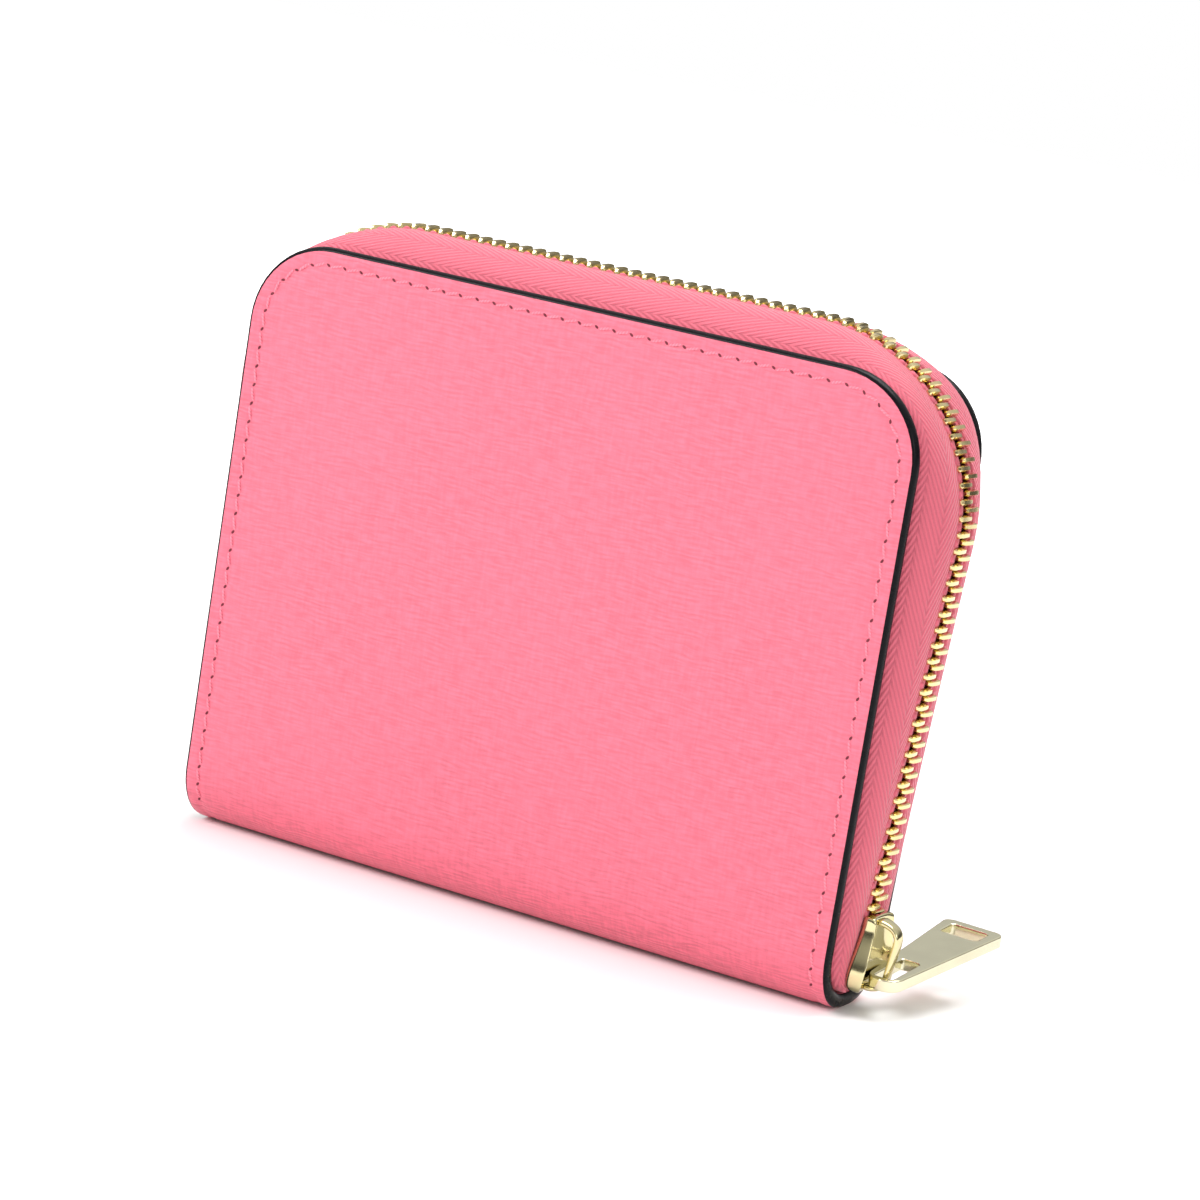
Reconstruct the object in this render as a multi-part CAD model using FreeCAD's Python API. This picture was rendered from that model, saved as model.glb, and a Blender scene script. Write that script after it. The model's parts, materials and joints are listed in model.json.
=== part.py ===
import FreeCAD, Part
import math
import os
from FreeCAD import Vector

# Compact zip-around wallet, standing upright on its spine.
# X runs along the spine, Y goes through the thickness (front at -Y), Z is up.
# The origin is the middle of the flat strip on which the spine rests.
# All sizes are in millimetres.

# ---- driving dimensions ----
width = 120.0             # along the spine
height = 100.0            # spine to the top edge of the covers
depth_top = 28.0          # over both covers at their top edge
depth_hinge = 22.4        # over both covers where they leave the spine
hinge_height = 9.0        # where the spine's curve ends and the flat covers start
spine_radius = 8.4        # outer bend between the spine's flat and its sides
corner_radius = 14.0      # top corners of the covers

leather_thick = 1.2
backing_thick = 1.2       # second leather layer, edge-painted together with the first
board_thick = 0.6
board_inset = 5.0
lining_thick = 0.8
lining_inset = 1.2
joint_gap = 0.2           # between pieces that move apart

tape_thick = 0.5
hem_width = 7.0           # flat part of the zip tape sewn inside the cover
ridge_height = 4.7        # how far the closed zip stands above the covers' top edge
side_taper = 2.9          # degrees by which the zip runs in towards the spine at both ends
chain_radius = 28.0       # the zip's own bend round each top corner, wider than the covers'
tape_flat = 5.3           # the tape is flat this far each side of the chain, for the slider

tooth_pitch = 2.5
tooth_length = 1.25       # along the chain
tooth_height = 2.2
tooth_reach = 2.9         # from the centre plane to the back of a tooth
tooth_gap = 0.2           # from the centre plane to a tooth's head
zip_end_height = 20.0     # below this the tape ends stay with the spine
zip_start = 9.5           # height of the lowest tooth
zip_start_x = 60.85       # and its distance from the middle
stop_length = 2.4

slider_rest = 9.7         # height of the slider's middle when the zip is closed
slider_nose = 6.2         # half its length
slider_wide = 4.8         # half its width at the shoulders
slider_narrow = 3.9       # and at both ends
slider_plate = 0.85
slider_room = 0.15        # round the teeth inside it
crown_rise = 3.9          # above the slider's plate, at the narrow end
crown_low_share = 0.84    # and lower towards the wide end, where the puller hangs
crown_band = 0.9
crown_width = 2.4

puller_reach = 31.2       # from its turning axis to the tip
puller_ring_half = 2.8
puller_tip_half = 5.25
puller_slot_half = 1.65
puller_slot_end = 8.2     # from the axis
puller_window = (1.9, 6.6)    # from the tip
puller_window_share = 0.62    # of the tip's width
puller_tip_corner = 1.2
puller_thick = 1.8
puller_yaw = 3.0          # degrees outward from straight back, when closed
puller_pitch = 7.5        # degrees up from level
puller_axis_height = 5.15     # above the middle of the chain
puller_drop = 3.5         # below the slider's middle

card_width = 92.0
card_leaf_thick = 0.5
card_leaf_bottom = 11.0
card_tops = (76.0, 66.0, 56.0, 46.0)

coin_width = 92.0
coin_wall_thick = 0.8
coin_wall_low = 1.1       # inner face of each wall from the centre plane, low down
coin_wall_high = 3.8      # and beside the zip
coin_flare_start = 58.0
coin_flare_end = 72.0
coin_wall_top = 80.0
coin_chain_height = 84.0
coin_tape_leg = 10.0
coin_chain_half = 41.5
coin_pitch = 1.9
coin_slider_rest = 36.5
coin_scale = 0.62         # of its zip, against the main one
coin_puller_reach = 15.0

gusset_inner = 47.0
gusset_outer = 56.0
gusset_near = 2.7
gusset_far = 7.2
gusset_top = 80.0

# ---- values worked out from them ----
half_hinge = depth_hinge / 2
lean = math.atan((depth_top / 2 - half_hinge) / (height - hinge_height))
panel_top = hinge_height + (height - hinge_height) / math.cos(lean)
cover_thick = leather_thick + backing_thick
taper = math.radians(side_taper)
corner_x = width / 2 - corner_radius
corner_z = height - corner_radius
chain_corner_z = height + ridge_height - chain_radius
side_end_z = chain_corner_z - chain_radius * math.sin(taper)
side_end_x = zip_start_x + (side_end_z - zip_start) * math.tan(taper)
chain_corner_x = side_end_x - chain_radius * math.cos(taper)
chain_along = Vector(math.sin(taper), 0, math.cos(taper))
chain_out = Vector(math.cos(taper), 0, -math.sin(taper))


def box(x, y, z):
    """Box between the two values of each pair."""
    size = [abs(pair[1] - pair[0]) for pair in (x, y, z)]
    return Part.makeBox(size[0], size[1], size[2], Vector(min(x), min(y), min(z)))


def rounded_edge(shape, radius, keep):
    """Rounds the edges whose middle point satisfies keep."""
    edges = [edge for edge in shape.Edges if keep(edge.CenterOfMass)]
    return shape.makeFillet(radius, edges)


def prism(points, direction):
    """Closed polygon pushed along a direction."""
    ring = list(points) + [points[0]]
    return Part.Face(Part.makePolygon(ring)).extrude(direction)


def front_lean(shape):
    """Leans a piece of the front cover outward about the line where it leaves the spine."""
    leaned = shape.copy()
    leaned.rotate(Vector(0, -half_hinge, hinge_height), Vector(1, 0, 0), math.degrees(lean))
    return leaned


def cover_y(depth, z):
    """Y of the surface at a depth below the leaned front cover's outside face, at a height."""
    return depth / math.cos(lean) - half_hinge - (z - hinge_height) * math.tan(lean)


def to_back(shape):
    """Mirror image through the centre plane between the covers."""
    return shape.mirror(Vector(0, 0, 0), Vector(0, 1, 0))


# ---- covers, drawn upright at the spine's depth and then leaned ----
def panel(inset, outer, inner, bottom):
    """Plate with two rounded top corners; outer and inner are depths below the outside face."""
    half = width / 2 - inset
    top = panel_top - inset
    radius = corner_radius - inset
    bend = radius * math.sqrt(0.5)
    y = outer - half_hinge
    left_arc = Part.Arc(
        Vector(-half, y, top - radius),
        Vector(-half + radius - bend, y, top - radius + bend),
        Vector(-half + radius, y, top),
    )
    right_arc = Part.Arc(
        Vector(half - radius, y, top),
        Vector(half - radius + bend, y, top - radius + bend),
        Vector(half, y, top - radius),
    )
    edges = [
        Part.makeLine(Vector(-half, y, bottom), Vector(-half, y, top - radius)),
        left_arc.toShape(),
        Part.makeLine(Vector(-half + radius, y, top), Vector(half - radius, y, top)),
        right_arc.toShape(),
        Part.makeLine(Vector(half, y, top - radius), Vector(half, y, bottom)),
        Part.makeLine(Vector(half, y, bottom), Vector(-half, y, bottom)),
    ]
    return Part.Face(Part.Wire(edges)).extrude(Vector(0, inner - outer, 0))


def cover_leather():
    return front_lean(panel(0, 0, leather_thick, hinge_height + joint_gap))


def cover_board():
    plate = panel(board_inset, leather_thick, leather_thick + board_thick, hinge_height + board_inset)
    return front_lean(plate)


def cover_backing():
    plate = panel(0, leather_thick, cover_thick, hinge_height + joint_gap)
    recess = panel(board_inset, leather_thick, leather_thick + board_thick, hinge_height + board_inset)
    return front_lean(plate.cut(recess))


def cover_lining():
    """Inner lining; its rim is rebated for the hem of the zip tape."""
    bottom = hinge_height + joint_gap
    inner = cover_thick + tape_thick + lining_thick
    plate = panel(lining_inset, cover_thick, inner, bottom)
    hem_space = panel(0, cover_thick, cover_thick + tape_thick, bottom)
    hem_space = hem_space.cut(panel(hem_width + joint_gap, 0, inner, bottom))
    return front_lean(plate.cut(hem_space))


def card_leaf(index):
    """One card pocket leaf; each is lower than the one behind it."""
    outer = cover_thick + tape_thick + lining_thick + index * card_leaf_thick
    y = (outer - half_hinge, outer + card_leaf_thick - half_hinge)
    x = (-card_width / 2, card_width / 2)
    return front_lean(box(x, y, (card_leaf_bottom, card_tops[index])))


# ---- spine ----
def spine_layer(outer, inner):
    """U-shaped strip under the covers, between two depths below its outside face."""

    def profile(depth):
        radius = spine_radius - depth
        bend = radius * math.sqrt(0.5)
        flat = half_hinge - spine_radius
        side = half_hinge - depth
        centre = spine_radius
        front = Part.Arc(
            Vector(0, -side, centre),
            Vector(0, -flat - bend, centre - bend),
            Vector(0, -flat, depth),
        )
        back = Part.Arc(
            Vector(0, flat, depth),
            Vector(0, flat + bend, centre - bend),
            Vector(0, side, centre),
        )
        edges = [
            Part.makeLine(Vector(0, -side, hinge_height), Vector(0, -side, centre)),
            front.toShape(),
            Part.makeLine(Vector(0, -flat, depth), Vector(0, flat, depth)),
            back.toShape(),
            Part.makeLine(Vector(0, side, centre), Vector(0, side, hinge_height)),
            Part.makeLine(Vector(0, side, hinge_height), Vector(0, -side, hinge_height)),
        ]
        return Part.Face(Part.Wire(edges)).extrude(Vector(width, 0, 0))

    strip = profile(outer).cut(profile(inner))
    strip.translate(Vector(-width / 2, 0, 0))
    return strip


# ---- zip tape: sections placed along the edge of the covers and joined ----
def chain_side_x(z):
    """Distance of the chain from the middle, on the straight run up one side."""
    return side_end_x - (side_end_z - z) * math.tan(taper)


def ridge_at(edge, out):
    """Distance to the chain from a point on the covers' edge, straight out of it."""
    if edge.z <= side_end_z:
        return chain_side_x(edge.z) - edge.x
    offset = edge - Vector(chain_corner_x, 0, chain_corner_z)
    reach = offset.dot(out)
    return math.sqrt(reach * reach - offset.dot(offset) + chain_radius * chain_radius) - reach


def edge_stations():
    """Points on the covers' edge, with the direction out of it and the ridge there: right half."""
    side = (zip_end_height + joint_gap, side_end_z, (side_end_z + corner_z) / 2)
    top = ((corner_x + chain_corner_x) / 2, chain_corner_x)
    edges = [(Vector(width / 2, 0, z), Vector(1, 0, 0)) for z in side]
    for step in range(7):
        turn = math.radians(15.0 * step)
        out = Vector(math.cos(turn), 0, math.sin(turn))
        edges.append((Vector(corner_x, 0, corner_z) + out * corner_radius, out))
    edges += [(Vector(x, 0, height), Vector(0, 0, 1)) for x in top]
    return [(edge, out, ridge_at(edge, out)) for edge, out in edges]


def tape_section(edge, out, ridge):
    """Closed section of the front tape: hem, rise out of the covers, flat part by the chain."""
    hem_depth = cover_thick + tape_thick / 2
    hem_in = edge - out * hem_width
    hem_out = edge - out * 0.8
    turn_y = cover_y(hem_depth, edge.z)
    line = [
        (hem_in + Vector(0, cover_y(hem_depth, hem_in.z), 0), 0),
        (hem_out + Vector(0, cover_y(hem_depth, hem_out.z), 0), 0),
        (edge + out * (0.30 * ridge) + Vector(0, turn_y + 0.7, 0), 1),
        (edge + out * (0.75 * ridge) + Vector(0, (turn_y - tape_flat) * 0.5 - 0.4, 0), 1),
        (edge + out * ridge + Vector(0, -tape_flat, 0), 2),
        (edge + out * ridge + Vector(0, -tooth_reach, 0), 2),
    ]
    hem_normal = Vector(0, 1, 0)
    slope = Vector(0, 0.7, 0) - out * 0.7
    normals = (hem_normal, slope, -out)
    inner = [point + normals[kind] * (tape_thick / 2) for point, kind in line]
    outer = [point - normals[kind] * (tape_thick / 2) for point, kind in line]
    ring = inner + outer[::-1]
    return Part.makePolygon(ring + [ring[0]])


def mirrored_station(station):
    edge, out, ridge = station
    return Vector(-edge.x, 0, edge.z), Vector(-out.x, 0, out.z), ridge


def cover_tape():
    """Front half of the zip tape, from one lower end over the top to the other."""
    right = edge_stations()
    left = [mirrored_station(station) for station in right[::-1]]
    sections = [tape_section(*station) for station in right + left]
    return Part.makeLoft(sections, True, True)


def end_tape(side):
    """Tape ends beside the last teeth; they stay with the spine. One strip each side of the chain."""
    top = zip_end_height
    low = 4.0

    def section(z, reach):
        x = chain_side_x(z)
        points = [(-reach, -1.2), (-tape_flat, 0), (-tooth_reach, 0)]
        upper = [Vector(x + rise + tape_thick / 2, y, z) for y, rise in points]
        lower = [Vector(x + rise - tape_thick / 2, y, z) for y, rise in points]
        ring = upper + lower[::-1]
        return Part.makePolygon(ring + [ring[0]])

    wall = half_hinge - cover_thick - 0.4
    sections = [section(low, wall - 2.2), section(hinge_height, wall), section(top, wall)]
    front = Part.makeLoft(sections, True, True)
    both = Part.makeCompound([front, to_back(front)])
    if side < 0:
        both = both.mirror(Vector(0, 0, 0), Vector(1, 0, 0))
    return both


# ---- zip teeth ----
def chain_path():
    """Length of the closed chain, and a function giving a point on it and the direction out."""
    start_z = zip_start
    side_run = (side_end_z - start_z) / math.cos(taper)
    corner_turn = math.pi / 2 + taper
    corner_run = chain_radius * corner_turn
    top_run = 2 * chain_corner_x
    total = 2 * side_run + 2 * corner_run + top_run

    def place(distance):
        if distance > total / 2:
            point, out = place(total - distance)
            return Vector(-point.x, 0, point.z), Vector(-out.x, 0, out.z)
        if distance <= side_run:
            z = start_z + distance * math.cos(taper)
            return Vector(chain_side_x(z), 0, z), chain_out
        if distance <= side_run + corner_run:
            turn = (distance - side_run) / chain_radius - taper
            out = Vector(math.cos(turn), 0, math.sin(turn))
            return Vector(chain_corner_x, 0, chain_corner_z) + out * chain_radius, out
        x = chain_corner_x - (distance - side_run - corner_run)
        return Vector(x, 0, height + ridge_height), Vector(0, 0, 1)

    return total, place


def tooth(point, out, side):
    """One tooth; side is -1 on the front tape and +1 on the back tape."""
    block = box(
        (-tooth_length / 2, tooth_length / 2),
        (side * tooth_gap, side * tooth_reach),
        (-tooth_height / 2, tooth_height / 2),
    )
    block.rotate(Vector(0, 0, 0), Vector(0, 1, 0), math.degrees(math.atan2(out.x, out.z)))
    block.translate(point)
    return block


def tooth_rows():
    """Teeth sorted by what they ride on: front cover, back cover and the two ends by the spine."""
    total, place = chain_path()
    rows = {"front": [], "back": [], "end_right": [], "end_left": []}
    count = int(total / (tooth_pitch / 2))
    step = total / count
    for i in range(count + 1):
        side = -1 if i % 2 == 0 else 1
        point, out = place(i * step)
        half_tooth = tooth_length / 2 + joint_gap
        if point.z < zip_end_height - half_tooth:
            row = "end_right" if point.x > 0 else "end_left"
        elif point.z > zip_end_height + half_tooth:
            row = "front" if side < 0 else "back"
        else:
            continue
        rows[row].append(tooth(point, out, side))
    return rows


def end_stops(side):
    """Stop clips below the last tooth: two separate ones on the right, one broad one on the left."""
    z = zip_start - 1.0 - stop_length / 2
    x = chain_side_x(z)
    x_pair = (x - tooth_height / 2, x + tooth_height / 2)
    z_pair = (z - stop_length / 2, z + stop_length / 2)
    if side > 0:
        clips = [box(x_pair, (s * tooth_gap, s * tooth_reach), z_pair) for s in (-1, 1)]
        return Part.makeCompound(clips)
    clip = box((-x_pair[0], -x_pair[1]), (-tooth_reach, tooth_reach), z_pair)
    return clip


slider_centre = Vector(chain_side_x(slider_rest), 0, slider_rest)


# ---- zip sliders: u runs along the chain, v across it and n out of it ----
def slider_top(scale):
    """Height of the slider's outer face above the middle of the chain."""
    return tooth_height / 2 * scale + slider_room + slider_plate * scale


def slider_shape(scale, crown):
    """Slider with two plates, side flanges, a thin wedge between them and a crown for the puller."""
    nose = slider_nose * scale
    wide = slider_wide * scale
    narrow = slider_narrow * scale
    top = slider_top(scale)
    channel_top = top - slider_plate * scale
    channel = tooth_reach * scale + slider_room
    slot = tape_thick / 2 + 0.2
    half = [
        (nose, narrow),
        (-nose * 0.25, wide),
        (-nose * 0.75, wide),
        (-nose, narrow),
    ]
    outline = half + [(u, -v) for u, v in half[::-1]]
    shell = prism([Vector(u, v, -top) for u, v in outline], Vector(0, 0, 2 * top))
    shell = shell.cut(box((-nose - 1, nose + 1), (-channel, channel), (-channel_top, channel_top)))
    shell = shell.cut(box((-nose - 1, nose + 1), (-wide - 1, wide + 1), (-slot, slot)))
    wedge = box((-nose * 0.9, -nose * 0.3), (-0.1, 0.1), (-channel_top, channel_top))
    return shell.fuse(wedge).fuse(crown).removeSplitter()


def crown_shape(scale, low_share):
    """Bridge that holds the puller: an arch over the top plate, lower at the wide end by low_share."""
    top = slider_top(scale)
    high = crown_rise * scale
    low = high * low_share
    band = crown_band * scale
    foot_low = -slider_nose * scale * 0.95
    foot_high = slider_nose * scale * 0.92
    bow_out = [
        (foot_low, 0),
        (foot_low + 0.2 * scale, low * 0.8),
        (foot_low + 1.3 * scale, low),
        (foot_high - 2.0 * scale, high),
        (foot_high - 0.5 * scale, high * 0.72),
        (foot_high, 0),
    ]
    bow_in = [
        (foot_high - band * 1.2, 0),
        (foot_high - band * 1.2 - 0.3 * scale, high * 0.72 - band * 0.6),
        (foot_high - 2.2 * scale, high - band),
        (foot_low + band + 0.5 * scale, low - band),
        (foot_low + band, low * 0.8 - band * 0.6),
        (foot_low + band, 0),
    ]
    half = crown_width * scale / 2
    arch = [Vector(u, -half, top + rise) for u, rise in bow_out + bow_in]
    return prism(arch, Vector(0, 2 * half, 0))


def puller_shape():
    """Flat puller: a rounded end with a slot for the crown, wider towards a windowed tip.

    It is drawn from its turning axis at the origin along +u, with its width along v.
    """
    outline = [
        Vector(0, puller_ring_half, 0),
        Vector(puller_reach, puller_tip_half, 0),
        Vector(puller_reach, -puller_tip_half, 0),
        Vector(0, -puller_ring_half, 0),
    ]
    edges = [Part.makeLine(outline[i], outline[i + 1]) for i in range(3)]
    edges.append(Part.Arc(outline[3], Vector(-puller_ring_half, 0, 0), outline[0]).toShape())
    plate = Part.Face(Part.Wire(edges)).extrude(Vector(0, 0, puller_thick))

    def at_tip_corner(c):
        return abs(c.x - puller_reach) < 0.01 and abs(abs(c.y) - puller_tip_half) < 0.01

    plate = rounded_edge(plate, puller_tip_corner, at_tip_corner)
    through = (-1, puller_thick + 1)
    slot = box((-puller_slot_half, puller_slot_end), (-puller_slot_half, puller_slot_half), through)
    window_x = [puller_reach - back for back in puller_window]
    window_half = puller_tip_half * puller_window_share
    window = box(window_x, (-window_half, window_half), through)
    plate = plate.cut(slot).cut(window)
    plate.translate(Vector(0, 0, -puller_thick / 2))
    return plate


def placed(shape, origin, along, across, out):
    """Moves a piece drawn in (u, v, n) to a place in the wallet."""
    moved = shape.copy()
    frame = FreeCAD.Placement(origin, FreeCAD.Rotation(along, across, out, "ZXY"))
    moved.Placement = frame.multiply(shape.Placement)
    return moved


def main_slider():
    shape = slider_shape(1.0, crown_shape(1.0, crown_low_share))
    return placed(shape, slider_centre, chain_along, Vector(0, -1, 0), chain_out)


def puller_pivot():
    """Middle of the crown's outer bar, round which the puller turns."""
    return slider_centre + chain_out * puller_axis_height - chain_along * puller_drop


def main_puller():
    yaw = math.radians(puller_yaw)
    pitch = math.radians(puller_pitch)
    along = Vector(math.sin(yaw) * math.cos(pitch), math.cos(yaw) * math.cos(pitch), math.sin(pitch))
    across = Vector(math.cos(yaw), -math.sin(yaw), 0)
    return placed(puller_shape(), puller_pivot(), along, across, along.cross(across))


# ---- coin pocket in the middle, closed along its top by a small zip ----
def coin_wall():
    """Front wall of the coin pocket, spreading towards the zip along its top."""
    inner = [
        (-coin_wall_low, cover_thick),
        (-coin_wall_low, coin_flare_start),
        (-coin_wall_high, coin_flare_end),
        (-coin_wall_high, coin_wall_top),
    ]
    outer = [(y - coin_wall_thick, z) for y, z in inner[::-1]]
    points = [Vector(-coin_width / 2, y, z) for y, z in inner + outer]
    return prism(points, Vector(coin_width, 0, 0))


def coin_tape():
    """Angle strip: down the wall's inside and in towards the small chain."""
    reach = tooth_reach * coin_scale
    x = (-coin_width / 2 + 1.5, coin_width / 2 - 1.5)
    z_top = coin_chain_height + tape_thick / 2
    leg = box(x, (-coin_wall_high, -coin_wall_high + tape_thick), (z_top - coin_tape_leg, z_top))
    ledge = box(x, (-coin_wall_high, -reach), (z_top - tape_thick, z_top))
    return leg.fuse(ledge).removeSplitter()


def coin_teeth():
    """Small teeth of both sides, staggered along the chain."""
    half = tooth_height / 2 * coin_scale
    half_length = tooth_length / 2 * coin_scale
    teeth = []
    count = int(2 * coin_chain_half / (coin_pitch / 2))
    for i in range(count + 1):
        side = -1 if i % 2 == 0 else 1
        x = -coin_chain_half + i * coin_pitch / 2
        y = (side * tooth_gap, side * (tooth_reach * coin_scale - 0.02))
        z = (coin_chain_height - half, coin_chain_height + half)
        teeth.append(box((x - half_length, x + half_length), y, z))
    return Part.makeCompound(teeth)


def coin_stops():
    half = tooth_height / 2 * coin_scale
    reach = tooth_reach * coin_scale - 0.02
    z = (coin_chain_height - half, coin_chain_height + half)
    x_near = coin_chain_half + 0.9
    clips = [box((x_near, x_near + 1.6), (s * tooth_gap, s * reach), z) for s in (-1, 1)]
    clips.append(box((-x_near - 1.6, -x_near), (-reach, reach), z))
    return Part.makeCompound(clips)


def coin_slider():
    origin = Vector(coin_slider_rest, 0, coin_chain_height)
    shape = slider_shape(coin_scale, crown_shape(coin_scale, 1.0))
    return placed(shape, origin, Vector(-1, 0, 0), Vector(0, -1, 0), Vector(0, 0, 1))


def coin_puller_pivot():
    """Line across the small slider, under its crown, about which the small puller flips."""
    return Vector(coin_slider_rest + 1.0, 0, coin_chain_height + slider_top(coin_scale) + 0.95)


def coin_puller():
    """Ring end threaded under the crown, blade lying back along the closed chain."""
    ring_half = 2.4
    slot_half = 1.2
    tip_half = 2.6
    bar = 0.45
    length = coin_puller_reach
    edges = [
        Part.makeLine(Vector(bar + 0.6, ring_half, 0), Vector(length - tip_half, tip_half, 0)),
        Part.Arc(
            Vector(length - tip_half, tip_half, 0),
            Vector(length, 0, 0),
            Vector(length - tip_half, -tip_half, 0),
        ).toShape(),
        Part.makeLine(Vector(length - tip_half, -tip_half, 0), Vector(bar + 0.6, -ring_half, 0)),
        Part.makeLine(Vector(bar + 0.6, -ring_half, 0), Vector(-bar, -ring_half, 0)),
        Part.makeLine(Vector(-bar, -ring_half, 0), Vector(-bar, ring_half, 0)),
        Part.makeLine(Vector(-bar, ring_half, 0), Vector(bar + 0.6, ring_half, 0)),
    ]
    plate = Part.Face(Part.Wire(edges)).extrude(Vector(0, 0, 2 * bar))
    plate = plate.cut(box((bar, 7.0), (-slot_half, slot_half), (-1, 3)))
    plate.translate(Vector(0, 0, -bar))
    return placed(plate, coin_puller_pivot(), Vector(-1, 0, 0), Vector(0, -1, 0), Vector(0, 0, 1))


# ---- folded side gussets between a cover and the coin pocket ----
def gusset(x_side, y_side):
    x = (x_side * gusset_inner, x_side * gusset_outer)
    y = (y_side * gusset_near, y_side * gusset_far)
    return box(x, y, (card_leaf_bottom, gusset_top))


# ---- all pieces ----
def all_pieces():
    rows = tooth_rows()
    pieces = {
        "spine_leather": spine_layer(0, leather_thick),
        "spine_lining": spine_layer(leather_thick, cover_thick),
        "zip_tape_end_right": end_tape(1),
        "zip_tape_end_left": end_tape(-1),
        "zip_teeth_end_right": Part.makeCompound(rows["end_right"]),
        "zip_teeth_end_left": Part.makeCompound(rows["end_left"]),
        "zip_top_stops": end_stops(1),
        "zip_bottom_stop": end_stops(-1),
        "zip_slider": main_slider(),
        "zip_puller": main_puller(),
        "coin_zip_teeth": coin_teeth(),
        "coin_zip_stops": coin_stops(),
        "coin_zip_slider": coin_slider(),
        "coin_zip_puller": coin_puller(),
    }
    front = {
        "leather": cover_leather(),
        "board": cover_board(),
        "backing": cover_backing(),
        "lining": cover_lining(),
        "zip_tape": cover_tape(),
        "coin_wall": coin_wall(),
        "coin_zip_tape": coin_tape(),
        "gusset_left": gusset(-1, -1),
        "gusset_right": gusset(1, -1),
    }
    for index in range(len(card_tops)):
        front["card_leaf_%d" % (index + 1)] = card_leaf(index)
    for name, shape in front.items():
        pieces["front_" + name] = shape
        pieces["back_" + name] = to_back(shape)
    pieces["front_zip_teeth"] = Part.makeCompound(rows["front"])
    pieces["back_zip_teeth"] = Part.makeCompound(rows["back"])
    return pieces


os.makedirs("parts", exist_ok=True)
for node, shape in all_pieces().items():
    shape.exportStep("parts/%s.step" % node)
print("puller pivot", puller_pivot())
print("coin puller pivot", coin_puller_pivot())
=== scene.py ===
"""Looks of the zip-around wallet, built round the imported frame.

Lengths in this script are millimetres until a mesh is made; meshes are in metres.
Front pieces are drawn at negative y, and mirrored to make the back ones.
"""
import json
import math

import bmesh
import bpy
from mathutils import Matrix, Vector


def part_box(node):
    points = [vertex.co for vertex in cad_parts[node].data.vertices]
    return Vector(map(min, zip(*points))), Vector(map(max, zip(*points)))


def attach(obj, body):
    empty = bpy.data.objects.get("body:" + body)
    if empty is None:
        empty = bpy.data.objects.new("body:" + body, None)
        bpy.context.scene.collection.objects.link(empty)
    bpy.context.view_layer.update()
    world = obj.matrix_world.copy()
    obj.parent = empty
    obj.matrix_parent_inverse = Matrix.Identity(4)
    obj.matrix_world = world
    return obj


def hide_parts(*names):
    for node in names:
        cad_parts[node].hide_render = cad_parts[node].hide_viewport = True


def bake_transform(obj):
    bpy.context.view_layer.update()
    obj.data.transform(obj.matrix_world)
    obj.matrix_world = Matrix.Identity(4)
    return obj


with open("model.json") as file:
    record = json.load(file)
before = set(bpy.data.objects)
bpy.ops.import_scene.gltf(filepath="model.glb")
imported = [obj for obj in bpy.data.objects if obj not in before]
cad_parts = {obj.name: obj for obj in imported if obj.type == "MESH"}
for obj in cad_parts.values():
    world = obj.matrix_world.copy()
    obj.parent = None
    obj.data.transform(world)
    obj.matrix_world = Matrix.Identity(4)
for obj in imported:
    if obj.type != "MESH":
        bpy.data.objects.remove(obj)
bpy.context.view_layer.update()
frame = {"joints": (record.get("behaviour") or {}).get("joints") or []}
MM = 0.001
words = {False: "front", True: "back"}


# ---- sizes read from the frame ----
def box_mm(node):
    low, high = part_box(node)
    return low / MM, high / MM


def middle_mm(node):
    low, high = box_mm(node)
    return (low + high) / 2


def joint(name):
    return next(j for j in frame["joints"] if j["name"] == name)


cover_low, cover_high = box_mm("front_leather")
half_width = cover_high.x
cover_top = cover_high.z
hinge_z = joint("front_cover_hinge")["pos_m"][2] / MM
half_hinge = -joint("front_cover_hinge")["pos_m"][1] / MM
lean = math.atan((-cover_low.y - half_hinge) / (cover_top - hinge_z))
corner_radius = 14.0
corner_x = half_width - corner_radius
cover_thick = 2.4
spine_radius = 9.8
flat_half = half_hinge - (spine_radius - (spine_radius - hinge_z) * math.sin(lean)) / math.cos(lean)
panel_up = Vector((0, -math.sin(lean), math.cos(lean)))
panel_in = Vector((0, math.cos(lean), math.sin(lean)))
panel_foot = Vector((0, -half_hinge, hinge_z))
panel_top = (cover_top - hinge_z) / math.cos(lean)
corner_up = panel_top - corner_radius

side_taper = math.radians(2.9)
ridge = box_mm("front_zip_tape")[1].z - cover_top - 0.25
corner_z = cover_top - corner_radius
chain_radius = 28.0
zip_start = 9.5
zip_start_x = 60.85
chain_corner_z = cover_top + ridge - chain_radius
side_end_z = chain_corner_z - chain_radius * math.sin(side_taper)
side_end_x = zip_start_x + (side_end_z - zip_start) * math.tan(side_taper)
chain_corner_x = side_end_x - chain_radius * math.cos(side_taper)
chain_along = Vector((math.sin(side_taper), 0, math.cos(side_taper)))
chain_out = Vector((math.cos(side_taper), 0, -math.sin(side_taper)))
tape_thick = 0.5
tooth_pitch = 2.5
tooth_height = 2.2


# ---- making pieces ----
def linked(name, data):
    """New object in the scene for a mesh, curve, light or camera."""
    holder = bpy.data.objects.new(name, data)
    bpy.context.scene.collection.objects.link(holder)
    return holder


def clean(mesh, sharp):
    """Joins doubled points, turns the faces outward and shades smooth up to an angle in degrees."""
    work = bmesh.new()
    work.from_mesh(mesh)
    bmesh.ops.remove_doubles(work, verts=work.verts, dist=1e-6)
    bmesh.ops.recalc_face_normals(work, faces=work.faces)
    work.to_mesh(mesh)
    work.free()
    mesh.shade_smooth()
    mesh.set_sharp_from_angle(angle=math.radians(sharp))


def smooth(piece, levels=1):
    modifier = piece.modifiers.new("smooth", "SUBSURF")
    modifier.levels = levels
    modifier.render_levels = levels
    return piece


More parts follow.
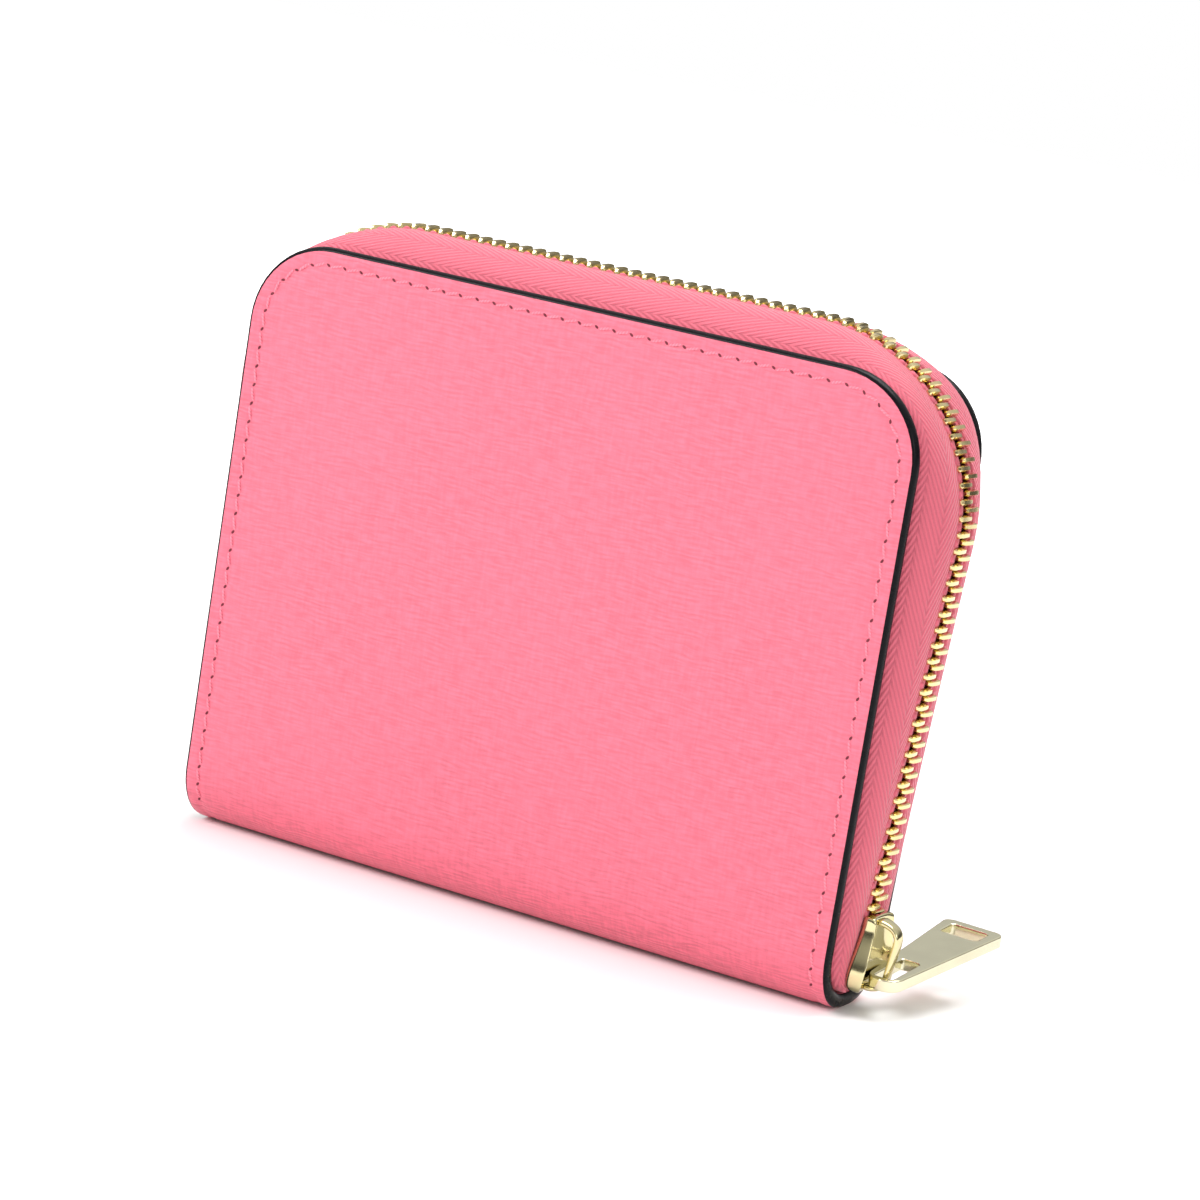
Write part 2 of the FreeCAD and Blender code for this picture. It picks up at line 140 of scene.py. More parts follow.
class Shape:
    """Points, faces and material numbers collected into one mesh, in mm. surf is a flat position
    for each point, in mm, that patterns follow; kinds is the material number of each face."""

    def __init__(self):
        self.verts = []
        self.faces = []
        self.surf = []
        self.kinds = []

    def add(self, verts, faces, surf=None, kind=0):
        start = len(self.verts)
        self.verts += [Vector(v) for v in verts]
        self.faces += [[start + i for i in face] for face in faces]
        self.surf += list(surf) if surf else [tuple(v) for v in verts]
        self.kinds += kind if isinstance(kind, list) else [kind] * len(faces)

    def loft(self, rings, surf=None, closed=True, kind_of=None):
        """Skin over rings of equal count, capped where the rings are closed; kind_of gives a
        material number by place in the ring."""
        count = len(rings[0])
        verts = [point for ring in rings for point in ring]
        flat = [point for ring in surf for point in ring] if surf else None
        faces = []
        kinds = []
        last = count if closed else count - 1
        for row in range(len(rings) - 1):
            for i in range(last):
                j = (i + 1) % count
                a = row * count
                faces.append([a + i, a + j, a + count + j, a + count + i])
                kinds.append(kind_of(i) if kind_of else 0)
        if closed:
            faces.append(list(range(count))[::-1])
            faces.append([(len(rings) - 1) * count + i for i in range(count)])
            kinds += [0, 0]
        self.add(verts, faces, flat, kinds)

    def piece(self, name, materials, back=False, sharp=40):
        """Mesh piece in metres; back mirrors it through y = 0."""
        mesh = bpy.data.meshes.new(name)
        verts = self.verts
        faces = self.faces
        if back:
            verts = [Vector((v.x, -v.y, v.z)) for v in verts]
            faces = [face[::-1] for face in faces]
        mesh.from_pydata([v * MM for v in verts], [], faces)
        for material in materials:
            mesh.materials.append(material)
        mesh.polygons.foreach_set("material_index", self.kinds)
        store = mesh.attributes.new("surf", "FLOAT_VECTOR", "POINT")
        for place, flat in zip(store.data, self.surf):
            place.vector = flat
        clean(mesh, sharp)
        return linked(name, mesh)


def ribbon(line, out, thick):
    """Closed ring round a line given a thickness, and the run along the line at each point."""
    upper = []
    lower = []
    runs = []
    run = 0.0
    for i, point in enumerate(line):
        nearby = line[min(i + 1, len(line) - 1)] - line[max(i - 1, 0)]
        normal = (out * nearby.y - Vector((0, nearby.dot(out), 0))).normalized()
        upper.append(point + normal * (thick / 2))
        lower.append(point - normal * (thick / 2))
        run += (point - line[i - 1]).length if i else 0.0
        runs.append(run)
    return upper + lower[::-1], runs + runs[::-1]


def mirrored(rings):
    """Rings of the back side from those of the front side."""
    return [[Vector((p.x, -p.y, p.z)) for p in ring] for ring in rings]


def spread(start, end, count):
    """count values evenly from start to end, both included."""
    return [start + (end - start) * i / (count - 1) for i in range(count)]


def circle(count):
    """Angles of a full turn in even steps."""
    return [2 * math.pi * k / count for k in range(count)]


def ease(t):
    """Smooth step from 0 to 1."""
    t = min(1.0, max(0.0, t))
    return t * t * (3 - 2 * t)


# ---- materials ----
class Nodes:
    """Short way to build the node tree of a material or of the world."""

    def __init__(self, name, store=bpy.data.materials, shader="Principled BSDF"):
        self.owner = store.new(name)
        self.owner.use_nodes = True
        self.tree = self.owner.node_tree
        self.shader = self.tree.nodes[shader]

    def new(self, kind, inputs=None, **settings):
        node = self.tree.nodes.new(kind)
        for key, value in settings.items():
            setattr(node, key, value)
        for key, value in (inputs or {}).items():
            self.put(node.inputs[key], value)
        return node

    def put(self, socket, value):
        if isinstance(value, bpy.types.NodeSocket):
            self.tree.links.new(value, socket)
        else:
            socket.default_value = value

    def math(self, operation, a, b=0.0, c=0.0):
        return self.new("ShaderNodeMath", {0: a, 1: b, 2: c}, operation=operation).outputs[0]

    def surf(self):
        return self.new("ShaderNodeAttribute", attribute_name="surf").outputs["Vector"]

    def scaled(self, vector, scale):
        node = self.new("ShaderNodeVectorMath", {0: vector, 1: scale}, operation="MULTIPLY")
        return node.outputs[0]

    def noise(self, vector, scale=1.0, detail=2.0, rough=0.5):
        inputs = {"Vector": vector, "Scale": scale, "Detail": detail, "Roughness": rough}
        return self.new("ShaderNodeTexNoise", inputs).outputs["Fac"]

    def ramp(self, value, low, high, to_low=0.0, to_high=1.0):
        inputs = {"Value": value, "From Min": low, "From Max": high, "To Min": to_low, "To Max": to_high}
        return self.new("ShaderNodeMapRange", inputs).outputs["Result"]

    def mix(self, factor, a, b, blend="MIX"):
        node = self.new("ShaderNodeMix", data_type="RGBA", blend_type=blend)
        self.put(node.inputs["Factor"], factor)
        self.put(node.inputs["A"], a)
        self.put(node.inputs["B"], b)
        return node.outputs["Result"]

    def bump(self, height, distance, strength=1.0):
        inputs = {"Height": height, "Distance": distance, "Strength": strength}
        return self.new("ShaderNodeBump", inputs).outputs["Normal"]

    def finish(self, **inputs):
        names = {
            "color": "Base Color",
            "rough": "Roughness",
            "metal": "Metallic",
            "normal": "Normal",
            "specular": "Specular IOR Level",
            "coat": "Coat Weight",
            "coat_rough": "Coat Roughness",
            "sheen": "Sheen Weight",
            "sheen_rough": "Sheen Roughness",
        }
        for key, value in inputs.items():
            self.put(self.shader.inputs[names[key]], value)
        return self.owner


def color(red, green, blue):
    return (red, green, blue, 1.0)


def tinted(base, factor):
    return color(*(channel * factor for channel in base[:3]))


PINK = color(0.84, 0.164, 0.238)
TAPE_PINK = color(0.69, 0.138, 0.192)
LINING_PINK = color(0.78, 0.17, 0.25)


def grained_leather(name, base, depth=0.0001):
    """Cross-grained leather: short wavy ridges across, crossed by faint upright threads."""
    n = Nodes(name)
    surf = n.surf()
    wander = n.noise(n.scaled(surf, (0.10, 0.22, 0.3)))
    shift = n.new("ShaderNodeCombineXYZ", {"Y": n.math("MULTIPLY", wander, 1.5)}).outputs[0]
    bent = n.new("ShaderNodeVectorMath", {0: surf, 1: shift}, operation="ADD").outputs[0]
    rows = n.noise(n.scaled(bent, (0.30, 2.3, 0.8)), 1.0, 3.0, 0.55)
    threads = n.noise(n.scaled(bent, (1.7, 0.28, 0.8)))
    fine = n.noise(n.scaled(surf, (5.0, 7.0, 5.0)), 1.0, 2.0, 0.6)
    rows_sharp = n.ramp(rows, 0.36, 0.62)
    bent_y = n.new("ShaderNodeSeparateXYZ", {0: bent}).outputs["Y"]
    lines = n.math("MULTIPLY_ADD", n.math("SINE", n.math("MULTIPLY", bent_y, 2 * math.pi / 0.72)), 0.5, 0.5)
    threads_sharp = n.ramp(threads, 0.36, 0.66)
    height = n.math("ADD", n.math("MULTIPLY", rows_sharp, 0.52), n.math("MULTIPLY", threads_sharp, 0.26))
    height = n.math("ADD", height, n.math("MULTIPLY", lines, 0.22))
    height = n.math("ADD", height, n.math("MULTIPLY", fine, 0.18))
    tone = n.ramp(height, 0.25, 1.0)
    cloud = n.noise(n.scaled(surf, (0.03, 0.03, 0.03)))
    dark = n.mix(n.ramp(cloud, 0.3, 0.7), tinted(base, 0.70), tinted(base, 0.78))
    return n.finish(
        color=n.mix(tone, dark, base),
        rough=n.ramp(height, 0.2, 1.0, 0.52, 0.40),
        specular=0.42,
        coat=0.06,
        coat_rough=0.3,
        normal=n.bump(height, depth, 0.8),
    )


def soft_leather(name, base):
    """Smooth thin leather with a pebbled surface and gentle cloudiness."""
    n = Nodes(name)
    surf = n.surf()
    cells = n.new("ShaderNodeTexVoronoi", {"Vector": surf, "Scale": 2.2}, feature="F1").outputs["Distance"]
    cloud = n.noise(n.scaled(surf, (0.08, 0.08, 0.08)), 1.0, 3.0)
    return n.finish(
        color=n.mix(n.ramp(cloud, 0.3, 0.7), tinted(base, 0.86), base),
        rough=n.ramp(cells, 0.0, 0.6, 0.48, 0.60),
        specular=0.35,
        normal=n.bump(cells, 0.00004, 0.6),
    )


def painted_edge():
    """Black edge paint: glossy, with the slight unevenness of a hand-run bead."""
    n = Nodes("edge_paint")
    uneven = n.noise(n.scaled(n.surf(), (0.6, 0.6, 0.6)), 1.0, 3.0)
    return n.finish(
        color=n.mix(uneven, color(0.002, 0.002, 0.003), color(0.006, 0.005, 0.007)),
        rough=n.ramp(uneven, 0.3, 0.7, 0.24, 0.34),
        specular=0.10,
        normal=n.bump(uneven, 0.00008, 0.5),
    )


def herringbone(name, base, pitch=1.6, column=3.9):
    """Woven zip tape: slanted yarns that turn back in each column, with sheen on the yarns."""
    n = Nodes(name)
    parts = n.new("ShaderNodeSeparateXYZ", {0: n.surf()}).outputs
    along = parts["X"]
    across = parts["Y"]
    fold = n.math("PINGPONG", across, column)
    phase = n.math("MULTIPLY", n.math("ADD", along, n.math("MULTIPLY", fold, 2.1)), 2 * math.pi / pitch)
    yarn = n.math("MULTIPLY_ADD", n.math("SINE", phase), 0.5, 0.5)
    strand = n.math("SINE", n.math("MULTIPLY", across, 2 * math.pi / 0.34))
    valley = n.ramp(n.math("ABSOLUTE", n.math("SUBTRACT", fold, column / 2)), column * 0.40, column * 0.5)
    height = n.math("ADD", yarn, n.math("MULTIPLY", strand, 0.10))
    height = n.math("SUBTRACT", height, n.math("MULTIPLY", valley, 0.45))
    fuzz = n.noise(n.surf(), 6.0, 2.0, 0.6)
    tone = n.math("ADD", n.ramp(height, -0.3, 0.9), n.math("MULTIPLY", n.math("SUBTRACT", fuzz, 0.5), 1.3))
    return n.finish(
        color=n.mix(n.ramp(tone, 0.0, 1.0), tinted(base, 0.76), base),
        rough=0.72,
        specular=0.25,
        sheen=0.25,
        sheen_rough=0.4,
        normal=n.bump(height, 0.00012, 0.9),
    )


def gold(name, base, rough):
    """Polished light gold plate with faint rub marks."""
    n = Nodes(name)
    place = n.new("ShaderNodeTexCoord").outputs["Object"]
    marks = n.noise(n.scaled(place, (900, 2600, 1700)), 1.0, 4.0, 0.6)
    cloud = n.noise(place, 160.0)
    return n.finish(
        color=n.mix(n.ramp(cloud, 0.3, 0.7), tinted(base, 0.93), base),
        metal=1.0,
        rough=n.ramp(marks, 0.3, 0.75, rough, rough + 0.10),
        normal=n.bump(cloud, 0.00003, 0.25),
    )


def twisted_thread(name, base):
    n = Nodes(name)
    parts = n.new("ShaderNodeSeparateXYZ", {0: n.surf()}).outputs
    turn = n.math("ADD", n.math("MULTIPLY", parts["X"], 11.0), n.math("MULTIPLY", parts["Y"], 6.3))
    ply = n.math("MULTIPLY_ADD", n.math("SINE", turn), 0.5, 0.5)
    return n.finish(
        color=n.mix(ply, tinted(base, 0.72), base), rough=0.55, specular=0.35, normal=n.bump(ply, 0.00005)
    )


# Needle hole colour: the dark red is painted shade inside the holes, with a random speckle of tone.
def needle_hole():
    n = Nodes("needle_hole")
    speck = n.noise(n.surf(), 3.0)
    return n.finish(color=n.mix(speck, color(0.10, 0.012, 0.02), color(0.20, 0.03, 0.045)), rough=0.9)


leather = grained_leather("pink_cross_grain", PINK)
leather_inside = soft_leather("pink_lining_leather", LINING_PINK)
card_leather = grained_leather("pink_card_leather", color(0.86, 0.21, 0.30), 0.00005)
edge_paint = painted_edge()
tape_cloth = herringbone("pink_herringbone", TAPE_PINK)
small_tape_cloth = herringbone("pink_small_herringbone", TAPE_PINK, 0.9, 1.4)
tooth_gold = gold("tooth_gold", color(0.80, 0.65, 0.32), 0.14)
slider_gold = gold("slider_gold", color(0.70, 0.62, 0.35), 0.07)
puller_gold = gold("puller_gold", color(0.74, 0.70, 0.49), 0.15)
thread = twisted_thread("pink_thread", color(0.92, 0.235, 0.315))
hole_shade = needle_hole()


# ---- the line that a cover follows from under the spine up to its top ----
def spine_turn(depth, angle):
    """Point of the spine's bend, angle 0 straight below and 90 degrees less the lean at the side."""
    radius = spine_radius - depth
    return Vector((0, -flat_half - radius * math.sin(angle), spine_radius - radius * math.cos(angle)))


turn_end = math.pi / 2 - lean
turn_length = spine_radius * turn_end
turn_top = (spine_turn(0, turn_end) - panel_foot).dot(panel_up)
seam_run = flat_half + turn_length


def cover_point(run, depth):
    """Point at a run along the outside from the middle of the spine, at a depth inside it."""
    if run <= flat_half:
        return Vector((0, -run, depth))
    if run <= seam_run:
        return spine_turn(depth, (run - flat_half) / spine_radius)
    return panel_foot + panel_up * (turn_top + run - seam_run) + panel_in * depth


def on_cover(x, run, depth):
    point = cover_point(run, depth)
    point.x = x
    return point


corner_run = seam_run + corner_up - turn_top
top_run = corner_run + corner_radius


def inner_y(z, depth):
    """Y of a surface at a depth inside the cover or spine, at a height."""
    if z >= spine_turn(depth, turn_end).z:
        return depth / math.cos(lean) - half_hinge - (z - hinge_z) * math.tan(lean)
    radius = spine_radius - depth
    rise = spine_radius - z
    return -flat_half - math.sqrt(max(0.0, radius * radius - rise * rise))


swell_inset = 3.5
swell_width = 26.0


def cover_skin(name, section, runs, materials, back, kind_of, bulge=0.0):
    """Sheet with two round top corners, thick as its rim section says: a list of (inset from the
    outline, depth), from the middle of the outer face round the rim to that of the inner face."""
    columns = spread(-corner_x, corner_x, 24)
    corner_steps = 12
    shape = Shape()

    def at(x, run, inset, depth, outer):
        if outer:
            swell = ease((inset - swell_inset) / swell_width)
            depth -= bulge * swell * ease((run - flat_half) / turn_length)
        return on_cover(x, run, depth)

    right = [(half_width, run, 1.0, 0.0) for run in runs]
    for step in range(1, corner_steps):
        turn = math.pi / 2 * step / corner_steps
        out_x = math.cos(turn)
        out_up = math.sin(turn)
        right.append((corner_x + corner_radius * out_x, corner_run + corner_radius * out_up, out_x, out_up))
    top = [(x, top_run, 0.0, 1.0) for x in columns[::-1]]
    left = [(-x, run, -out_x, out_up) for x, run, out_x, out_up in right[::-1]]
    path = right + top + left
    rings = []
    flats = []
    for edge_x, edge_run, out_x, out_up in path:
        spots = [(edge_x - out_x * inset, edge_run - out_up * inset) for inset, depth in section]
        rings.append([
            at(x, run, inset, depth, number < len(section) / 2)
            for number, ((x, run), (inset, depth)) in enumerate(zip(spots, section))
        ])
        flats.append([(x, run, depth) for (x, run), (inset, depth) in zip(spots, section)])
    shape.loft(rings, flats, closed=False, kind_of=kind_of)
    for first, (inset, depth) in ((True, section[0]), (False, section[-1])):
        verts = []
        flat = []
        for run in runs:
            for x in columns:
                distance = min(half_width - abs(x), top_run - run)
                verts.append(at(x, run, max(distance, inset), depth, first))
                flat.append((x, run, depth))
        faces = []
        count = len(columns)
        for row in range(len(runs) - 1):
            for i in range(count - 1):
                a = row * count + i
                face = [a, a + 1, a + count + 1, a + count]
                faces.append(face if first else face[::-1])
        shape.add(verts, faces, flat, kind_of(0 if first else len(section) - 2))
    count = len(section)
    last = (len(path) - 1) * count
    bottom_outer = len(rings) * count
    bottom_inner = bottom_outer + len(runs) * len(columns)
    first_ring = list(range(count))
    last_ring = [last + i for i in range(count)]
    inner = [bottom_inner + i for i in range(len(columns))]
    outer = [bottom_outer + i for i in range(len(columns))]
    shape.faces.append(first_ring + inner[::-1][1:-1] + last_ring[::-1] + outer[1:-1])
    shape.kinds.append(kind_of(len(section) - 2))
    return shape.piece(name, materials, back, sharp=50)


rim_outer = [
    (14, 0), (9, 0), (6, 0), (4.4, 0), (3.6, 0.05), (3.2, 0.14), (2.8, 0.14), (2.4, 0.05), (1.8, -0.02),
    (1.1, 0), (0.6, 0.03), (0.34, 0.10),
]
rim_edge = [(0.12, 0.36), (-0.04, 0.8), (-0.09, 1.2), (-0.04, 1.6), (0.12, 2.04)]
rim_inner = [(0.34, 2.30), (0.6, 2.37), (1.2, 2.4), (6, 2.4), (14, 2.4)]
rim_section = rim_outer + rim_edge + rim_inner
paint_first = len(rim_outer) - 2
paint_last = paint_first + len(rim_edge) + 2


def outer_kind(i):
    """0 leather, 1 edge paint, 2 lining, by place round the rim."""
    if i < paint_first:
        return 0
    return 1 if i < paint_last else 2


bend_runs = [0.0, flat_half] + [flat_half + turn_length * i / 14 for i in range(1, 15)]
panel_runs = [seam_run + (corner_run - seam_run) * i / 26 for i in range(1, 27)]


def blend_to_cover(piece):
    """Bakes the piece's placement into its mesh."""
    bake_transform(piece)


def build_cover(back):
    word = words[back]
    skin = cover_skin(
        word + "_skin", rim_section, bend_runs + panel_runs, [leather, edge_paint, leather_inside], back,
        outer_kind, bulge=0.35,
    )
    blend_to_cover(skin)
    nodes = [word + "_leather", word + "_backing"] + ([] if back else ["spine_leather", "spine_lining"])
    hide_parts(*nodes)


# ---- stitches along the sides and the top ----
stitch_inset = 2.75
stitch_radius = corner_radius - stitch_inset
stitch_pitch = 3.1
stitch_start = seam_run - 5.5
stitch_slant = math.radians(14)
stitch_half = 0.25
hole_slant = math.radians(38)
hole_long = 0.40
hole_wide = 0.22


def arch_line(foot, taper, radius, corner_across, corner_up):
    """Length of a line up the right side, round the corners and down the left side, and a
    function from a length to (x, height, angle of the way out of the line)."""
    side = (corner_up - radius * math.sin(taper) - foot) / math.cos(taper)
    corner = radius * (math.pi / 2 + taper)
    total = 2 * (side + corner + corner_across)

    def place(length):
        if length > total / 2:
            x, up, turn = place(total - length)
            return -x, up, math.pi - turn
        if length > side + corner:
            return corner_across - (length - side - corner), corner_up + radius, math.pi / 2
        turn = max(0.0, length - side) / radius - taper
        short = min(0.0, length - side)
        x = corner_across + radius * math.cos(turn) + short * math.sin(taper)
        return x, corner_up + radius * math.sin(turn) + short * math.cos(taper), turn

    return total, place


def stitch_line():
    """Length of the stitch line, and a function from a length to (x, run, direction)."""
    total, place = arch_line(stitch_start, 0.0, stitch_radius, corner_x, corner_run)

    def aim(length):
        x, run, turn = place(length)
        return x, run, turn + math.copysign(math.pi / 2, total / 2 - length)

    return total, aim


def build_stitches(back):
    """Thread between needle holes; each stitch lies slightly aslant and dips into its holes."""
    word = words[back]
    total, place = stitch_line()
    count = round(total / stitch_pitch)
    step = total / count
    threads = Shape()
    holes = Shape()
    for i in range(count):
        x, run, turn = place((i + 0.5) * step)
        along = Vector((math.cos(turn + stitch_slant), math.sin(turn + stitch_slant)))
        side = Vector((-along.y, along.x))
        rings = []
        flats = []
        half = step * 0.40
        for t in spread(-1, 1, 9):
            sink = 0.24 * abs(t) ** 3
            thick = stitch_half * (1 - 0.35 * abs(t) ** 4)
            centre = Vector((x, run)) + along * (half * t)
            ring = []
            flat = []
            for k, angle in enumerate(circle(8)):
                spot = centre + side * (thick * math.cos(angle))
                ring.append(on_cover(spot.x, spot.y, sink + 0.08 - thick * 0.85 * math.sin(angle)))
                flat.append((t * half, k * 0.25 + i * 0.3, 0))
            rings.append(ring)
            flats.append(flat)
        threads.loft(rings, flats)
    # Small dark dents at the needle holes; their colour is painted shade.
    for i in range(count + 1):
        x, run, turn = place(min(i * step, total))
        turn -= hole_slant
        along = Vector((math.cos(turn), math.sin(turn)))
        side = Vector((-along.y, along.x))
        rings = []
        for size, depth in ((1.0, 0.10), (0.75, 0.055), (0.35, 0.05)):
            ring = []
            for angle in circle(10):
                spot = Vector((x, run)) + along * (hole_long * size * math.cos(angle))
                spot += side * (hole_wide * size * math.sin(angle))
                ring.append(on_cover(spot.x, spot.y, depth))
            rings.append(ring)
        holes.loft(rings)
    for shape, name, material in ((threads, "_stitches", thread), (holes, "_needle_holes", hole_shade)):
        piece = shape.piece(word + name, [material], back)
        blend_to_cover(piece)


# ---- zip: its line, tape and teeth ----
def chain_x(z):
    """Distance of the chain from the middle, up the straight run of one side."""
    return side_end_x - (side_end_z - z) * math.tan(side_taper)


def chain_line():
    """Length of the closed chain, and a function from a length to (point, out of it)."""
    total, place = arch_line(zip_start, side_taper, chain_radius, chain_corner_x, chain_corner_z)

    def aim(length):
        x, z, turn = place(length)
        return Vector((x, 0, z)), Vector((math.cos(turn), 0, math.sin(turn)))

    return total, aim


hem_depth = cover_thick + 0.28
hem_width = 7.0
hem_stop = 0.9
dome_half = 3.6
tape_edge = 1.55
tape_foot = 2.9


def tape_ring(edge, out, rise):
    """Section of the front tape: flat hem in the cover, a dome, and the edge at the chain."""
    line = []
    hem_in = edge - out * hem_width
    for t in (0, 0.5, 1):
        point = hem_in.lerp(edge - out * hem_stop, t)
        point.y = inner_y(max(point.z, tape_foot), hem_depth)
        line.append(point)
    hem_y = line[-1].y
    full = rise + hem_stop
    wall = -hem_y - dome_half
    for step in range(1, 9):
        turn = math.pi / 2 * step / 8
        puff = 0.6 * (1 - rise / ridge) * math.sin(2 * turn)
        point = edge + out * (full * math.sin(turn) ** 1.5 + puff - hem_stop)
        point.y = -dome_half - wall * math.cos(turn)
        line.append(point)
    end = edge + out * rise
    end.y = -tape_edge
    line.append(end)
    return line


def ridge_at(edge, out):
    """Distance to the chain from a point on the covers' edge, straight out of it."""
    if edge.z <= side_end_z:
        return chain_x(edge.z) - edge.x
    if edge.x <= chain_corner_x:
        return ridge
    offset = edge - Vector((chain_corner_x, 0, chain_corner_z))
    reach = offset.dot(out)
    return math.sqrt(reach * reach - offset.dot(offset) + chain_radius * chain_radius) - reach


def tape_stations():
    """Points on the covers' edge, with the direction out of it and the ridge there."""
    right = []
    for z in [3.2, 5, 7, 9, 11] + spread(13, corner_z, 30):
        right.append((Vector((half_width, 0, z)), Vector((1, 0, 0))))
    for step in range(1, 15):
        turn = math.pi / 2 * step / 14
        out = Vector((math.cos(turn), 0, math.sin(turn)))
        right.append((Vector((corner_x, 0, corner_z)) + out * corner_radius, out))
    right += [(Vector((x, 0, cover_top)), Vector((0, 0, 1))) for x in spread(corner_x - 2, 0, 16)]
    right = [(edge, out, ridge_at(edge, out)) for edge, out in right]
    left = [(Vector((-e.x, 0, e.z)), Vector((-o.x, 0, o.z)), r) for e, o, r in right[-2::-1]]
    return right + left


def build_tape(back):
    word = words[back]
    rings = []
    flats = []
    run = 0.0
    before = None
    for edge, out, rise in tape_stations():
        line = tape_ring(edge, out, rise)
        middle = edge + out * rise
        run += (middle - before).length if before is not None else 0.0
        before = middle
        ring, widths = ribbon(line, out, tape_thick)
        rings.append(ring)
        flats.append([(run, across, 0) for across in widths])
    shape = Shape()
    shape.loft(rings, flats)
    add_cord(shape, back)
    piece = shape.piece(word + "_tape", [tape_cloth], back, sharp=60)
    blend_to_cover(piece)
    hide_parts(word + "_zip_tape", "zip_tape_end_right" if back else "zip_tape_end_left")


cord_long = 0.78
cord_high = 0.62
cord_wide = 0.6
cord_y = -2.85


def add_cord(shape, back):
    """Cord on the tape's edge, swelling between one side's teeth."""
    total, place = chain_line()
    count = int(total / (tooth_pitch / 2))
    for i in range(2 if back else 1, count, 2):
        point, out = place(i * total / count)
        along = Vector((out.z, 0, -out.x))
        rings = []
        flats = []
        for t in spread(-0.96, 0.96, 6):
            round_off = math.sqrt(1 - t * t)
            ring = []
            for angle in circle(8):
                spot = point + along * (cord_long * t) + out * (cord_high * round_off * math.sin(angle))
                spot.y = cord_y + cord_wide * round_off * math.cos(angle)
                ring.append(spot)
            rings.append(ring)
            flats.append([(0.3 * t + i, 0.1 * k, 0) for k in range(8)])
        shape.loft(rings, flats)


tooth_stations = [
    # (distance back from the centre plane, share of half length, share of half height)
    (3.05, 0.55, 0.60), (2.85, 0.92, 0.92), (2.3, 1.0, 1.0), (1.5, 0.98, 1.0), (0.7, 0.98, 0.98),
    (0.0, 0.96, 0.92), (-0.6, 0.86, 0.84), (-0.9, 0.5, 0.5),
]
tooth_corners = [
    (1, 0.45), (0.55, 1), (-0.55, 1), (-1, 0.45), (-1, -0.45), (-0.55, -1), (0.55, -1), (1, -0.45),
]


def tooth_rings(point, out, half_length, half_height, scale, shift=0.0):
    """Rounded tooth of the front side, as rings from its clamp to its head."""
    along = Vector((out.z, 0, -out.x))
    rings = []
    for distance, long_share, high_share in tooth_stations:
        ring = []
        for a, b in tooth_corners:
            spot = point + along * (a * half_length * long_share) + out * (b * half_height * high_share)
            spot.y = -(distance * scale + shift)
            ring.append(spot)
        rings.append(ring)
    return rings


def build_teeth():
    total, place = chain_line()
    count = int(total / (tooth_pitch / 2))
    rows = {False: Shape(), True: Shape()}
    for i in range(count + 1):
        point, out = place(i * total / count)
        rows[i % 2 == 1].loft(tooth_rings(point, out, 0.55, tooth_height / 2, 1.0))
    for back, shape in rows.items():
        word = words[back]
        piece = shape.piece(word + "_teeth", [tooth_gold], back, sharp=35)
        blend_to_cover(piece)
        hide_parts(word + "_zip_teeth", "zip_teeth_end_right" if back else "zip_teeth_end_left")


def build_stops():
    """Two clips at the closed end of the zip and one broad clip at the other end."""
    for node, at_left in (("zip_top_stops", False), ("zip_bottom_stop", True)):
        low, high = box_mm(node)
        z = middle_mm(node).z
        side = -1 if at_left else 1
        point = Vector((chain_x(z) * side, 0, z))
        out = Vector((chain_out.x * side, 0, chain_out.z))
        half = (high.z - low.z) / 2
        rings = tooth_rings(point, out, half, tooth_height / 2, 0.8, 0.0 if at_left else 0.7)
        shape = Shape()
        shape.loft(rings)
        shape.loft(mirrored(rings))
        piece = smooth(shape.piece(node + "_clips", [tooth_gold]))
        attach(piece, "spine")
        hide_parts(node)


# ---- sliders and pullers, drawn in (u along the chain, v across, n out of it) ----
plate_top = 2.1
plate_inside = 1.34
plate_wall = 0.6
tape_slot = 0.48
slider_sections = [
    # (u, half width, height of the raised sides, drop of the whole plate)
    (-6.30, 2.9, 0.10, 0.45), (-6.05, 3.6, 0.40, 0.12), (-5.4, 4.9, 0.80, 0.0), (-4.2, 5.7, 1.15, 0.0),
    (-2.4, 5.8, 1.35, 0.0), (-0.4, 5.3, 1.25, 0.0), (1.8, 4.6, 0.95, 0.0), (4.0, 3.95, 0.70, 0.0),
    (5.4, 4.0, 0.55, 0.0), (6.05, 3.9, 0.45, 0.10), (6.30, 3.7, 0.20, 0.30),
]


def plate_ring(u, wide, raised, drop, sign):
    """Section of one slider plate with its turned-down sides; sign is 1 outside, -1 inside."""
    high = plate_top - drop
    side = wide - plate_wall
    half = [
        (wide - 0.05, tape_slot), (wide + 0.02, 1.0), (wide - 0.02, high - 0.25),
        (wide - 0.12, high + raised - 0.12), (wide - 0.45, high + raised),
        (wide - 0.95, high + raised * 0.55), (wide * 0.55, high + 0.08), (wide * 0.25, high),
    ]
    under = [(side - 1.2, plate_inside), (side, plate_inside - 0.1), (side, tape_slot)]
    right = half + [(0, high)]
    left = [(-v, n) for v, n in half[::-1]]
    below_left = [(-v, n) for v, n in under[::-1]]
    ring = right + left + below_left + [(0, plate_inside)] + under
    return [Vector((u, v, n * sign)) for v, n in ring]


def slider_shape(scale):
    """Both plates and the post between them, at a scale."""
    shape = Shape()
    for sign, share in ((1, 1.0), (-1, 0.15)):
        rings = [
            [p * scale for p in plate_ring(u, wide, raised * share, drop, sign)]
            for u, wide, raised, drop in slider_sections
        ]
        shape.loft(rings)
    post = ((-5.7, 0), (-4.6, 0.10), (-2.2, 0.02), (-4.6, -0.10))
    post_half = plate_inside + 0.2
    heights = (-post_half, 0, post_half)
    shape.loft([[Vector((u, v, n)) * scale for u, v in post] for n in heights])
    return shape


